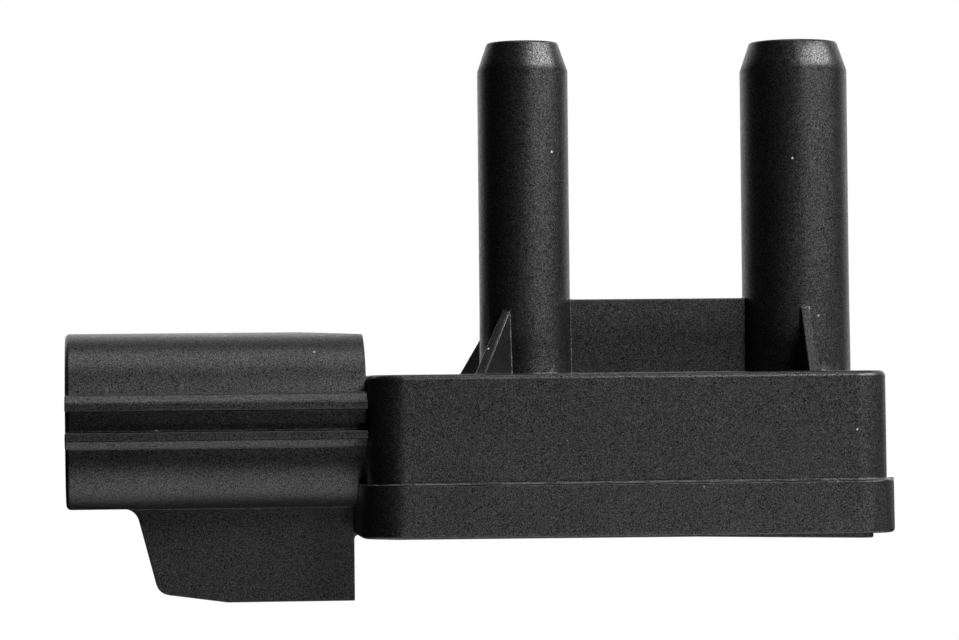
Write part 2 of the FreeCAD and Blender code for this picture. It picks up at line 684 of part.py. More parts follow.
def make_terminal(name, index):
    """A blade with a tapered tip that bends down into the board, in one piece of sheet."""
    body = new_body(name)
    outline = new_sketch(body, f"{name}_side", "XZ_Plane", f"-{terminal_y(index)}")
    tip, shoulder = f"{MOUTH} + terminal_setback", f"{MOUTH} + terminal_setback + terminal_tip_length"
    above = f"{CONNECTOR_LEVEL} + terminal_thickness / 2"
    below = f"{CONNECTOR_LEVEL} - terminal_thickness / 2"
    near, far = f"{LEG_X} - terminal_thickness / 2", f"{LEG_X} + terminal_thickness / 2"
    end = f"{BOARD_UNDERSIDE} - terminal_below"
    draw_polygon(outline, (
        (tip, f"{CONNECTOR_LEVEL} - terminal_tip / 2"),
        (shoulder, below),
        (near, below),
        (near, end),
        (far, end),
        (far, above),
        (shoulder, above),
        (tip, f"{CONNECTOR_LEVEL} + terminal_tip / 2"),
    ))
    pad(body, outline, f"{name}_blade", "terminal_width", symmetric=True)
    inner, outer = (value(near), value(below)), (value(far), value(above))
    soften(
        body, "Fillet", f"{name}_inner_bend",
        lambda edge, at: same(at.x, inner[0]) and same(at.z, inner[1]), Radius="terminal_bend",
    )
    soften(
        body, "Fillet", f"{name}_outer_bend",
        lambda edge, at: same(at.x, outer[0]) and same(at.z, outer[1]),
        Radius="terminal_bend + terminal_thickness",
    )
    return body


def make_sealant():
    """Sealant along the chamber's left wall, around all three blades."""
    body = new_body("terminal_sealant")
    width = "2 * terminal_pitch + terminal_width + 2 * sealant_margin"
    add_box(
        body, "sealant_bar", "sealant_thickness", width, "sealant_height",
        CHAMBER_LEFT, f"{MIDDLE_Y} - ({width}) / 2", f"{CONNECTOR_LEVEL} - sealant_height / 2",
    )
    for index, name in enumerate(TERMINALS):
        add_box(
            body, f"{name}_passage", "3 * sealant_thickness", "terminal_width", "terminal_thickness",
            f"{CHAMBER_LEFT} - sealant_thickness", f"{terminal_y(index)} - terminal_width / 2",
            f"{CONNECTOR_LEVEL} - terminal_thickness / 2", cut=True,
        )
    return body


def new_shape(kind, name, x, y, z, **sizes):
    """A plain solid outside any body, bound to the sheet and placed."""
    shape = document.addObject(kind, name)
    bind(shape, **sizes)
    put(shape, x, y, z)
    return shape


def cut_from(base, tool, name):
    result = document.addObject("Part::Cut", name)
    result.Base = base
    result.Tool = tool
    return result


def join(shapes, name):
    result = document.addObject("Part::MultiFuse", name)
    result.Shapes = shapes
    return result


def group(shapes, name):
    """Separate solids of one kind that share a node."""
    result = document.addObject("Part::Compound", name)
    result.Links = shapes
    return result


def make_solder():
    """Solder fills each leg's hole and stands as a cone around the leg below the board."""
    joints = []
    for index, name in enumerate(TERMINALS):
        y = terminal_y(index)
        fill = new_shape(
            "Part::Cylinder", f"{name}_solder_fill", LEG_X, y, BOARD_UNDERSIDE,
            Radius=f"{LEG_HOLE} / 2", Height="board_thickness",
        )
        cone = new_shape(
            "Part::Cone", f"{name}_solder_cone", LEG_X, y, f"{BOARD_UNDERSIDE} - solder_height",
            Radius1=f"{LEG_HOLE} / 2", Radius2=f"{LEG_HOLE} / 2 + solder_reach", Height="solder_height",
        )
        leg = new_shape(
            "Part::Box", f"{name}_solder_leg", f"{LEG_X} - terminal_thickness / 2",
            f"{y} - terminal_width / 2", f"{BOARD_UNDERSIDE} - 2 * solder_height",
            Length="terminal_thickness", Width="terminal_width",
            Height="board_thickness + 4 * solder_height",
        )
        joints.append(cut_from(join([fill, cone], f"{name}_solder"), leg, f"{name}_solder_joint"))
    return group(joints, "solder_joints")


def square_pad(name, side, height, z):
    """A square block about the cell's middle."""
    return new_shape(
        "Part::Box", name, f"{CELL_X} - {side} / 2", f"{MIDDLE_Y} - {side} / 2", z,
        Length=side, Width=side, Height=height,
    )


def cell_cylinder(name, radius, height, z):
    return new_shape("Part::Cylinder", name, CELL_X, MIDDLE_Y, z, Radius=radius, Height=height)


def make_sensing_cell():
    """Die on its glass pedestal, glued over the board's hole, in a ring filled with gel."""
    pedestal_foot = f"{BOARD_TOP} + glue_thickness"
    die_foot = f"{pedestal_foot} + pedestal_height"
    stack = "glue_thickness + pedestal_height + die_height"
    glue = cut_from(
        square_pad("glue_pad", "glue_side", "glue_thickness", BOARD_TOP),
        cell_cylinder("glue_hole", "cell_hole / 2", "glue_thickness", BOARD_TOP), "die_attach",
    )
    pedestal = cut_from(
        square_pad("pedestal_block", "pedestal_side", "pedestal_height", pedestal_foot),
        cell_cylinder("pedestal_bore", "pedestal_hole / 2", "pedestal_height", pedestal_foot),
        "die_pedestal",
    )
    die = cut_from(
        square_pad("die_block", "die_side", "die_height", die_foot),
        square_pad("die_hollow", "diaphragm_side", "die_height - diaphragm_thickness", die_foot),
        "pressure_die",
    )
    ring = cut_from(
        cell_cylinder("ring_block", "ring_diameter / 2", "ring_height", BOARD_TOP),
        cell_cylinder("ring_bore", "ring_diameter / 2 - ring_wall", "ring_height", BOARD_TOP),
        "gel_ring",
    )
    covered = join([
        square_pad("gel_glue_room", "glue_side", "glue_thickness", BOARD_TOP),
        square_pad("gel_pedestal_room", "pedestal_side", "pedestal_height", pedestal_foot),
        square_pad("gel_die_room", "die_side", "die_height", die_foot),
        cell_cylinder("gel_bore_room", "cell_hole / 2", stack, BOARD_TOP),
    ], "gel_room")
    gel = cut_from(
        cell_cylinder("gel_block", "ring_diameter / 2 - ring_wall", "gel_depth", BOARD_TOP),
        covered, "gel_fill",
    )
    return [glue, pedestal, die, ring, gel]


def below_board(name, length, width, height, x, y, lift="0"):
    """A component's block that hangs under the board, placed by its middle."""
    return new_shape(
        "Part::Box", name, f"{x} - {length} / 2", f"{y} - {width} / 2",
        f"{BOARD_UNDERSIDE} - {lift} - {height}", Length=length, Width=width, Height=height,
    )


def make_signal_chip():
    """The chip's moulded body and its eight bent leads, below the board."""
    chip = below_board(
        "signal_chip", "chip_length", "chip_width", "chip_height", CHIP_X, MIDDLE_Y, "chip_lift",
    )
    leads = []
    for side, out in (("front", "-"), ("back", "+")):
        for index in range(4):
            leads.append(make_lead(f"lead_{side}_{index + 1}", out, index))
    return [chip, group(leads, "signal_chip_leads")]


def make_lead(name, out, index):
    """A lead: out of the chip's side, up to the board, and a flat foot on it."""
    body = new_body(name)
    along = f"{CHIP_X} + {index - 1.5} * lead_pitch"
    outline = new_sketch(body, f"{name}_side", "YZ_Plane", along)
    flank = f"{MIDDLE_Y} {out} chip_width / 2"
    knee = f"{MIDDLE_Y} {out} (chip_width / 2 + lead_reach - lead_foot)"
    inner_knee = f"{MIDDLE_Y} {out} (chip_width / 2 + lead_reach - lead_foot - lead_thickness)"
    end = f"{MIDDLE_Y} {out} (chip_width / 2 + lead_reach)"
    low = f"{BOARD_UNDERSIDE} - lead_level - lead_thickness / 2"
    high = f"{BOARD_UNDERSIDE} - lead_level + lead_thickness / 2"
    foot = f"{BOARD_UNDERSIDE} - lead_thickness"
    draw_polygon(outline, (
        (flank, low),
        (knee, low),
        (knee, foot),
        (end, foot),
        (end, BOARD_UNDERSIDE),
        (inner_knee, BOARD_UNDERSIDE),
        (inner_knee, high),
        (flank, high),
    ))
    pad(body, outline, f"{name}_strip", "lead_width", symmetric=True)
    return body


def make_passives():
    """Two large capacitors by the terminals, and rows of small components beside the chip."""
    x = f"({LEG_X} + capacitor_gap)"
    large = [
        below_board(
            name, "capacitor_length", "capacitor_width", "capacitor_height",
            x, f"({MIDDLE_Y} {out} terminal_pitch)",
        )
        for name, out in (("supply_capacitor", "-"), ("output_capacitor", "+"))
    ]
    filters = small_row("filter_capacitor", "filter_height", f"({MIDDLE_Y} - filter_gap)")
    resistors = small_row("resistor", "resistor_height", f"({MIDDLE_Y} + resistor_gap)")
    return large + [group(filters, "filter_capacitors"), group(resistors, "trim_resistors")]


def small_row(name, height, y):
    return [
        below_board(
            f"{name}_{index + 1}", "small_chip_length", "small_chip_width", height,
            f"({CHIP_X} + {index - 1.5} * small_chip_pitch)", y,
        )
        for index in range(4)
    ]


def make_sleeve():
    """A steel tube that takes the bolt's load past the plastic ear."""
    body = new_body("mount_sleeve")
    length = "(seat_gap + ear_height + sleeve_proud)"
    add_cylinder(body, "tube", "sleeve_bore / 2 + sleeve_wall", length, "0", "0", "0")
    soften(body, "Chamfer", "tube_bevels", lambda edge, at: edge.Closed, Size="sleeve_chamfer")
    add_cylinder(body, "tube_bore", "sleeve_bore / 2", f"3 * {length}", "0", "0", f"-{length}", cut=True)
    return body


def make_parts():
    parts = [make_housing(), make_cover(), make_cover_seal(), make_board(), make_board_seal()]
    parts += [make_terminal(name, index) for index, name in enumerate(TERMINALS)]
    parts += [make_sealant(), make_solder()]
    parts += make_sensing_cell()
    parts += make_signal_chip()
    parts += make_passives()
    parts.append(make_sleeve())
    return parts


def check_document(parts):
    """Stop if any object failed or any part has no sound solid."""
    for thing in document.Objects:
        if {"Invalid", "Error"} & set(thing.State):
            raise RuntimeError(f"{thing.Name} failed: {thing.State}")
    for part in parts:
        shape = part.Shape
        if shape.isNull() or not shape.isValid() or not shape.Solids:
            raise RuntimeError(f"{part.Label} has no sound solid")


def main():
    fill_sheet()
    parts = make_parts()
    document.recompute()
    check_document(parts)
    os.makedirs("parts", exist_ok=True)
    for part in parts:
        part.Shape.exportStep(f"parts/{part.Label}.step")
        print(f"{part.Label}: {len(part.Shape.Solids)} solids, {part.Shape.Volume:.2f} mm3")


main()
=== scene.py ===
"""The looks of the differential pressure sensor: rounded edges, mould flash, finishes and studio.

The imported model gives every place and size. Pieces made here ride on its one body.
"""
import math

import bpy
from bpy.props import FloatProperty, FloatVectorProperty, IntProperty, PointerProperty
from mathutils import Euler, Matrix, Vector, noise


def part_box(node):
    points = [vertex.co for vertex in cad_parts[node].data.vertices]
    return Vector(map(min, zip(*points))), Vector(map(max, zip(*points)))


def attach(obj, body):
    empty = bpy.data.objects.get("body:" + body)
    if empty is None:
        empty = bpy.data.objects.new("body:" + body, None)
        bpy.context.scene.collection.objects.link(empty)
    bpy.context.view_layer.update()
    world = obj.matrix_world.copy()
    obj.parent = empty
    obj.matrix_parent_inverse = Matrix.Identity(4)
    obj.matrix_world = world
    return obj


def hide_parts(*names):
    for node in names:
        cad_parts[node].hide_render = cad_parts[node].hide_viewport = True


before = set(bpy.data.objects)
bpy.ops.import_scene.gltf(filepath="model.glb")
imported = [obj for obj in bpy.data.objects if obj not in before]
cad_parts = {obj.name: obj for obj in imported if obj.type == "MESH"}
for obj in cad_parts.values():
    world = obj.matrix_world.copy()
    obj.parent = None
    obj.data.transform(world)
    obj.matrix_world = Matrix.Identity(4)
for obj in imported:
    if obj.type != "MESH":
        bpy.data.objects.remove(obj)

bl_info = {
    "name": "Pressure sensor looks",
    "version": (1, 0, 0),
    "blender": (4, 5, 0),
    "location": "3D View > Sidebar > Sensor",
    "description": "Dresses the differential pressure sensor and lights it in a small studio",
    "category": "Object",
}

MM = 0.001
BODY = "root"
MERGE_DISTANCE = 0.001 * MM
SHORTEST_EDGE = 0.02 * MM
FLATNESS = math.radians(0.3)
WHITE = (1.0, 1.0, 1.0, 1.0)

# Skin of the moulded plastic. The grain's sizes are in spots a metre.
SKIN = {"speckle": 0.45, "roughness": 0.38, "dust": 0.25, "texture": 0.005 * MM}
GRAIN_TURN = (0.61, 0.94, 0.37)
FINE_GRAIN = 9500.0
COARSE_GRAIN = 2600.0
CLOUDS = 220.0

# Crest of the flash. Waves are in turns a metre, the rest in shares of the flash's height.
SLOW_WAVES = 700.0
QUICK_WAVES = 2900.0
CREST_MIDDLE = 0.45
CREST_SWING = 1.1
CREST_LEAST = 0.1
CREST_MOST = 1.4

# Cuts along each straight side of the flash, in two goes, because one go makes 100 cuts at most
FLASH_CUTS = (30, 4)

# The white table. Its places are in metres from the object's origin.
TABLE_WHITE = (0.88, 0.88, 0.88, 1.0)
SHADOW_FADE = (0.10, 0.32)
PLAIN_SHARE = 0.72
TABLE_BLUR = 0.01
TABLE_BACK = (0.00, -0.03)
TABLE_LEFT = (-0.070, -0.050)

# The backdrop's light. It starts and is full at these shares of the way from the side to straight behind.
BACKDROP_TURN = 0.12
BACKDROP_SPREAD = (0.42, 0.82)

# Places and sizes of the lamps, in metres
LAMP_TARGET = (-0.01, -0.02, 0.015)
KEY_PLACE = (0.64, -0.54, 0.56)
KEY_SIZE = (1.20, 0.45)
TOP_PLACE = (-0.02, -0.12, 0.90)
TOP_SIZE = (0.50, 0.50)
LOW_PLACE = (0.060, -0.160)
LOW_SIZE = (0.20, 0.08)


def length(name, description, millimetres):
    """A length property whose default is given in millimetres."""
    return FloatProperty(
        name=name, description=description, default=millimetres * MM, unit="LENGTH", precision=5
    )


def turn(name, description, degrees):
    """An angle property whose default is given in degrees."""
    return FloatProperty(name=name, description=description, default=math.radians(degrees), subtype="ANGLE")


def share(name, description, default):
    return FloatProperty(
        name=name, description=description, default=default, min=0.0, max=1.0, subtype="FACTOR"
    )


def lamp_power(name, description, watts):
    return FloatProperty(name=name, description=description, default=watts, min=0.0, unit="POWER")


def light_level(name, description, default):
    """How strongly a white surface lights the object. 1 is plain white."""
    return FloatProperty(name=name, description=description, default=default, min=0.0)


def colour(name, description, *default):
    return FloatVectorProperty(
        name=name, description=description, default=default, size=3, min=0.0, max=1.0, subtype="COLOR"
    )


class SensorSizes(bpy.types.PropertyGroup):
    """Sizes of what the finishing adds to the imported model."""

    edge_round: length("Edge rounding", "Width of the rounding along the moulding's edges", 0.13)
    edge_steps: IntProperty(
        name="Edge steps", description="Faces across a rounded edge", default=3, min=1, max=6
    )
    edge_angle: turn("Edge angle", "Edges that turn more than this are rounded", 28)
    foot_round: length("Foot rounding", "Width of the rounding around the skirt's foot", 0.35)
    tip_round: length("Tip rounding", "Height of the ports' round ends, which are left as they are", 0.6)
    metal_round: length("Metal edge rounding", "Width of the rounding along the metal edges", 0.05)
    skirt_corner: length("Skirt corner", "Radius of the skirt's upright corners, seen from above", 3.68)
    skirt_height: length("Skirt height", "Height of the skirt above its underside", 4.56)
    flash_width: length("Flash width", "Width of the flash along the skirt's upper edge", 0.11)
    flash_height: length("Flash height", "Height of the flash along the skirt's upper edge", 0.10)
    flash_step: length("Flash step", "Distance between the points of the flash", 0.25)


class SensorColours(bpy.types.PropertyGroup):
    """Colours of the finishes, as linear light."""

    plastic: colour("Plastic", "Glass-filled plastic of the housing", 0.003, 0.003, 0.0031)
    cover: colour("Cover", "Plastic of the cover", 0.003, 0.003, 0.0031)
    speckle: colour("Speckle", "Glass fibres that show in the plastic's skin", 0.03, 0.03, 0.0305)
    dust: colour("Dust", "Dust on the plastic", 0.45, 0.45, 0.44)
    # The flash is the housing's own plastic, but its colour is much lighter: a painted highlight along the
    # parting line.
    flash: colour("Flash", "Thin flash along the parting line", 0.07, 0.07, 0.07)
    steel: colour("Steel", "Zinc-plated steel", 0.60, 0.60, 0.58)
    tin: colour("Tin", "Tin-plated copper", 0.62, 0.60, 0.55)
    solder: colour("Solder", "Solder", 0.66, 0.67, 0.69)
    laminate: colour("Laminate", "Coated circuit board", 0.02, 0.14, 0.06)
    sealant: colour("Sealant", "Cured silicone", 0.30, 0.30, 0.31)
    ceramic: colour("Ceramic", "Capacitors", 0.42, 0.33, 0.22)
    glaze: colour("Glaze", "Resistors", 0.05, 0.05, 0.055)
    epoxy: colour("Epoxy", "Body of the signal chip", 0.02, 0.02, 0.022)
    silicon: colour("Silicon", "Pressure die", 0.22, 0.23, 0.26)
    glass: colour("Glass", "Pedestal of the die", 0.75, 0.80, 0.80)
    gel: colour("Gel", "Soft gel over the die", 0.85, 0.88, 0.90)


class StudioSettings(bpy.types.PropertyGroup):
    """Camera, lamps and backdrop."""

    camera_place: FloatVectorProperty(
        name="Camera place", description="Where the camera stands", default=(-0.04321, -0.36737, 0.01277),
        subtype="TRANSLATION", unit="LENGTH", precision=5,
    )
    camera_turn: turn("Camera turn", "Turn of the camera to the right", 5.2307)
    camera_tilt: turn("Camera tilt", "Tilt of the camera upwards", 1.1212)
    camera_roll: turn("Camera roll", "Roll of the picture to the left", 0.592)
    lens: FloatProperty(
        name="Lens", description="Focal length on a 36 mm sensor, in millimetres", default=147.25
    )
    floor_drop: length("Floor", "Height of the object's origin above the floor", 30)
    key_power: lamp_power("Key", "Power of the soft lamp in front", 22.0)
    top_power: lamp_power("Top", "Power of the soft lamp above", 2.0)
    low_power: lamp_power("Low", "Power of the lamp on the table in front", 0.21)
    table_light: light_level("Table light", "Level of the white table's light on the object", 1.5)
    table_edge: length("Table edge", "Where the table's light ends in front", -52)
    backdrop: light_level("Backdrop", "Level of the white backdrop's light on the object", 1.4)
    dim_side: share("Dim side", "Level of the light from the room in front", 0.01)


def deselect_all():
    bpy.ops.object.select_all(action="DESELECT")


def activate(piece):
    """Make one object the only selected one."""
    deselect_all()
    bpy.context.view_layer.objects.active = piece
    piece.select_set(True)


def copy_node(node, name):
    """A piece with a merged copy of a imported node's mesh, its coplanar triangles joined."""
    piece = bpy.data.objects.new(name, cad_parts[node].data.copy())
    bpy.context.scene.collection.objects.link(piece)
    piece.data.materials.clear()
    activate(piece)
    bpy.ops.mesh.customdata_custom_splitnormals_clear()
    bpy.ops.object.mode_set(mode="EDIT")
    bpy.ops.mesh.select_all(action="SELECT")
    bpy.ops.mesh.remove_doubles(threshold=MERGE_DISTANCE)
    bpy.ops.mesh.dissolve_degenerate(threshold=SHORTEST_EDGE)
    bpy.ops.mesh.dissolve_limited(angle_limit=FLATNESS)
    bpy.ops.mesh.select_all(action="SELECT")
    bpy.ops.mesh.dissolve_degenerate(threshold=SHORTEST_EDGE)
    bpy.ops.object.mode_set(mode="OBJECT")
    return piece


def round_edges(piece, steps, angle, width_at):
    """Round the edges that turn more than the angle, each as wide as its middle's place asks for."""
    activate(piece)
    bpy.ops.object.mode_set(mode="EDIT")
    bpy.ops.mesh.select_mode(type="EDGE")
    bpy.ops.mesh.select_all(action="DESELECT")
    bpy.ops.mesh.edges_select_sharp(sharpness=angle)
    bpy.ops.object.mode_set(mode="OBJECT")
    mesh = piece.data
    widths = []
    for edge in mesh.edges:
        first, last = (mesh.vertices[number].co for number in edge.vertices)
        widths.append(width_at((first + last) / 2) if edge.select else 0.0)
    weights = mesh.attributes.new("bevel_weight_edge", "FLOAT", "EDGE")
    weights.data.foreach_set("value", [width / max(widths) for width in widths])
    bevel = piece.modifiers.new("rounded_edges", "BEVEL")
    bevel.limit_method = "WEIGHT"
    bevel.width = max(widths)
    bevel.segments = steps
    bevel.use_clamp_overlap = False
    bevel.loop_slide = False
    bpy.ops.object.modifier_apply(modifier=bevel.name)
    bpy.ops.object.shade_smooth_by_angle(angle=angle)
    weighted = piece.modifiers.new("even_shading", "WEIGHTED_NORMAL")
    weighted.keep_sharp = True
    bpy.ops.object.modifier_apply(modifier=weighted.name)


def outline_distance(point, low, high, corner):
    """How far a point lies inside a rectangle with round corners, seen from above."""
    middle, half = (low + high) / 2, (high - low) / 2
    over_x = abs(point.x - middle.x) - (half.x - corner)
    over_y = abs(point.y - middle.y) - (half.y - corner)
    if over_x > 0 and over_y > 0:
        return corner - math.hypot(over_x, over_y)
    return corner - max(over_x, over_y)


def keep_inside(piece, node):
    """Draw a piece's outermost points back to the box of the node that it stands for."""
    low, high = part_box(node)
    for vertex in piece.data.vertices:
        vertex.co = [min(max(value, least), most) for value, least, most in zip(vertex.co, low, high)]


def dress(piece, material, slot, *nodes):
    """Give a piece its material and its body, and hide the nodes that it stands for. The slot is not used.
    """
    piece.data.materials.append(material)
    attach(piece, BODY)
    if nodes:
        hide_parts(*nodes)


def finish_node(node, material):
    """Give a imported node, kept as it is, a finish of its own."""
    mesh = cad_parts[node].data
    mesh.materials.clear()
    mesh.materials.append(material)


def new_group(name, inputs, outputs):
    """A shader node group with named sockets. Returns its tree, input node and output node."""
    tree = bpy.data.node_groups.new(name, "ShaderNodeTree")
    for socket_name, kind, default in inputs:
        socket = tree.interface.new_socket(socket_name, in_out="INPUT", socket_type=f"NodeSocket{kind}")
        if default is not None:
            socket.default_value = default
    for socket_name, kind in outputs:
        tree.interface.new_socket(socket_name, in_out="OUTPUT", socket_type=f"NodeSocket{kind}")
    return tree, tree.nodes.new("NodeGroupInput"), tree.nodes.new("NodeGroupOutput")


def add_node(tree, kind, **values):
    """A shader node with properties set by name, and sockets by a name that starts with a capital."""
    node = tree.nodes.new(f"ShaderNode{kind}")
    for name, value in values.items():
        if name[0].isupper():
            node.inputs[name.replace("_", " ")].default_value = value
        else:
            setattr(node, name, value)
    return node


def link(tree, source, target):
    tree.links.new(source, target)


def math_node(tree, operation, first, second):
    """A Math node on two inputs, each a socket or a number."""
    node = add_node(tree, "Math", operation=operation)
    for socket, value in zip(node.inputs, (first, second)):
        if isinstance(value, bpy.types.NodeSocket):
            link(tree, value, socket)
        else:
            socket.default_value = value
    return node.outputs[0]


def ramp(tree, source, low, high):
    """Values from low to high spread over 0 to 1."""
    node = add_node(tree, "MapRange", From_Min=low, From_Max=high)
    link(tree, source, node.inputs["Value"])
    return node.outputs["Result"]


def mix_colours(tree, factor, first, second):
    """Mix two colours by a mask. Returns the colour socket."""
    node = add_node(tree, "Mix", data_type="RGBA")
    sockets = [socket for socket in node.inputs if socket.type == "RGBA"]
    for socket, value in zip([node.inputs[0], *sockets], (factor, first, second)):
        if isinstance(value, bpy.types.NodeSocket):
            link(tree, value, socket)
        elif isinstance(value, float):
            socket.default_value = value
        else:
            socket.default_value = (*value, 1.0)
    return next(socket for socket in node.outputs if socket.type == "RGBA")


def make_grain_group():
    """Skin of a glass-filled moulding: fine speckle, cloudy tone, mould texture."""
    tree, given, result = new_group(
        "moulded_grain",
        [
            ("Vector", "Vector", None), ("Colour", "Color", None), ("Speckle Colour", "Color", None),
            ("Speckle", "Float", 0.5), ("Roughness", "Float", 0.5),
        ],
        [("Colour", "Color"), ("Roughness", "Float"), ("Gloss", "Float"), ("Height", "Float")],
    )
    turned = add_node(tree, "Mapping", Rotation=GRAIN_TURN)
    link(tree, given.outputs["Vector"], turned.inputs["Vector"])
    fine = add_node(tree, "TexNoise", Scale=FINE_GRAIN, Detail=2.0, Roughness=0.7)
    coarse = add_node(tree, "TexNoise", Scale=COARSE_GRAIN, Detail=3.0, Roughness=0.6)
    cloud = add_node(tree, "TexNoise", Scale=CLOUDS, Detail=2.0, Roughness=0.5)
    for texture in (fine, coarse, cloud):
        link(tree, turned.outputs["Vector"], texture.inputs["Vector"])
    spots = ramp(tree, fine.outputs["Fac"], 0.50, 0.72)
    speckle = math_node(tree, "MULTIPLY", spots, given.outputs["Speckle"])
    tone = ramp(tree, cloud.outputs["Fac"], 0.30, 0.75)
    unevenness = math_node(tree, "ADD", 0.7, math_node(tree, "MULTIPLY", tone, 0.6))
    spread = math_node(tree, "MULTIPLY", speckle, unevenness)
    skin = mix_colours(tree, spread, given.outputs["Colour"], given.outputs["Speckle Colour"])
    link(tree, skin, result.inputs["Colour"])
    rough = math_node(tree, "MULTIPLY", ramp(tree, coarse.outputs["Fac"], 0.25, 0.75), 0.16)
    rough = math_node(tree, "SUBTRACT", rough, 0.08)
    link(tree, math_node(tree, "ADD", given.outputs["Roughness"], rough), result.inputs["Roughness"])
    gloss = ramp(tree, fine.outputs["Fac"], 0.34, 0.68)
    gloss = math_node(tree, "ADD", gloss, math_node(tree, "MULTIPLY", tone, 0.06))
    link(tree, gloss, result.inputs["Gloss"])
    lumps = math_node(tree, "MULTIPLY", coarse.outputs["Fac"], 1.5)
    height = math_node(tree, "ADD", fine.outputs["Fac"], lumps)
    link(tree, height, result.inputs["Height"])
    return tree


def make_dust_group():
    """Rare small grains of dust, as a mask."""
    tree, given, result = new_group(
        "dust_grains",
        [
            ("Vector", "Vector", None), ("Colour", "Color", None), ("Dust Colour", "Color", None),
            ("Amount", "Float", 0.1),
        ],
        [("Colour", "Color"), ("Mask", "Float")],
    )
    cells = add_node(tree, "TexVoronoi", Scale=520.0)
    patches = add_node(tree, "TexNoise", Scale=300.0, Detail=1.0)
    for texture in (cells, patches):
        link(tree, given.outputs["Vector"], texture.inputs["Vector"])
    grain = ramp(tree, cells.outputs["Distance"], 0.07, 0.03)
    chosen = add_node(tree, "SeparateColor")
    link(tree, cells.outputs["Color"], chosen.inputs["Color"])
    rare = math_node(tree, "LESS_THAN", chosen.outputs["Red"], given.outputs["Amount"])
    patchy = ramp(tree, patches.outputs["Fac"], 0.35, 0.6)
    mask = math_node(tree, "MULTIPLY", math_node(tree, "MULTIPLY", grain, rare), patchy)
    link(tree, mask, result.inputs["Mask"])
    dusty = mix_colours(tree, mask, given.outputs["Colour"], given.outputs["Dust Colour"])
    link(tree, dusty, result.inputs["Colour"])
    return tree


def new_material(name, **values):
    """A material with a Principled BSDF, its sockets set by name.

    Returns the material, its tree, its shader and the coordinates on the piece.
    """
    material = bpy.data.materials.new(name)
    material.use_nodes = True
    tree = material.node_tree
    shader = tree.nodes["Principled BSDF"]
    for socket, value in values.items():
        shader.inputs[socket.replace("_", " ")].default_value = value
    place = add_node(tree, "TexCoord").outputs["Object"]
    return material, tree, shader, place


def place_group(tree, group, place, **values):
    """One of the shared groups, fed with the place on the piece."""
    node = tree.nodes.new("ShaderNodeGroup")
    node.node_tree = bpy.data.node_groups[group]
    link(tree, place, node.inputs["Vector"])
    for name, value in values.items():
        socket = node.inputs[name.replace("_", " ")]
        if isinstance(value, bpy.types.NodeSocket):
            link(tree, value, socket)
        else:
            socket.default_value = value
    return node


def link_bump(tree, shader, height, distance):
    """Let a height push the surface's normal."""
    bump = add_node(tree, "Bump", Distance=distance)
    link(tree, height, bump.inputs["Height"])
    link(tree, bump.outputs["Normal"], shader.inputs["Normal"])


def moulded_plastic(name, base, colours, speckle, roughness, dust, texture):
    """Matt glass-filled plastic: grain, then a little dust."""
    material, tree, shader, place = new_material(name, IOR=1.5)
    grain = place_group(
        tree, "moulded_grain", place, Colour=(*base, 1.0), Speckle_Colour=(*colours.speckle, 1.0),
        Speckle=speckle, Roughness=roughness,
    )
    grains = place_group(
        tree, "dust_grains", place, Colour=grain.outputs["Colour"], Dust_Colour=(*colours.dust, 1.0),
        Amount=dust,
    )
    link(tree, grains.outputs["Colour"], shader.inputs["Base Color"])
    link(tree, grain.outputs["Gloss"], shader.inputs["Specular IOR Level"])
    dull = math_node(tree, "MULTIPLY", grains.outputs["Mask"], 0.3)
    link(tree, math_node(tree, "ADD", grain.outputs["Roughness"], dull), shader.inputs["Roughness"])
    raised = math_node(tree, "MULTIPLY", grains.outputs["Mask"], 3.0)
    link_bump(tree, shader, math_node(tree, "ADD", grain.outputs["Height"], raised), texture)
    return material


def clouded(name, base, roughness, scale, contrast, texture, **values):
    """A finish whose tone and roughness vary in soft clouds, with a light bump."""
    material, tree, shader, place = new_material(name, **values)
    clouds = add_node(tree, "TexNoise", Scale=scale, Detail=4.0, Roughness=0.55)
    link(tree, place, clouds.inputs["Vector"])
    dark = [level * (1 - contrast) for level in base]
    light = [min(1.0, level * (1 + contrast)) for level in base]
    tone = ramp(tree, clouds.outputs["Fac"], 0.3, 0.7)
    link(tree, mix_colours(tree, tone, dark, light), shader.inputs["Base Color"])
    rough = math_node(tree, "ADD", roughness, math_node(tree, "MULTIPLY", tone, 0.12))
    link(tree, rough, shader.inputs["Roughness"])
    link_bump(tree, shader, clouds.outputs["Fac"], texture)
    return material


def turned_steel(name, base):
    """Zinc-plated steel with fine turning marks around its axis."""
    material, tree, shader, place = new_material(name, Metallic=1.0)
    stretch = add_node(tree, "Mapping")
    stretch.inputs["Scale"].default_value = (120.0, 120.0, 9000.0)
    link(tree, place, stretch.inputs["Vector"])
    marks = add_node(tree, "TexNoise", Scale=1.0, Detail=3.0)
    link(tree, stretch.outputs["Vector"], marks.inputs["Vector"])
    clouds = add_node(tree, "TexNoise", Scale=500.0, Detail=4.0)
    link(tree, place, clouds.inputs["Vector"])
    tone = ramp(tree, clouds.outputs["Fac"], 0.3, 0.7)
    dark = [level * 0.82 for level in base]
    link(tree, mix_colours(tree, tone, dark, base), shader.inputs["Base Color"])
    rough = math_node(tree, "ADD", 0.28, math_node(tree, "MULTIPLY", marks.outputs["Fac"], 0.16))
    link(tree, rough, shader.inputs["Roughness"])
    link_bump(tree, shader, marks.outputs["Fac"], 0.004 * MM)
    return material


class SENSOR_OT_groups(bpy.types.Operator):
    """Build the effects that several finishes share"""

    bl_idname = "sensor.groups"
    bl_label = "Shared effects"

    def execute(self, context):
        make_grain_group()
        make_dust_group()
        return {"FINISHED"}


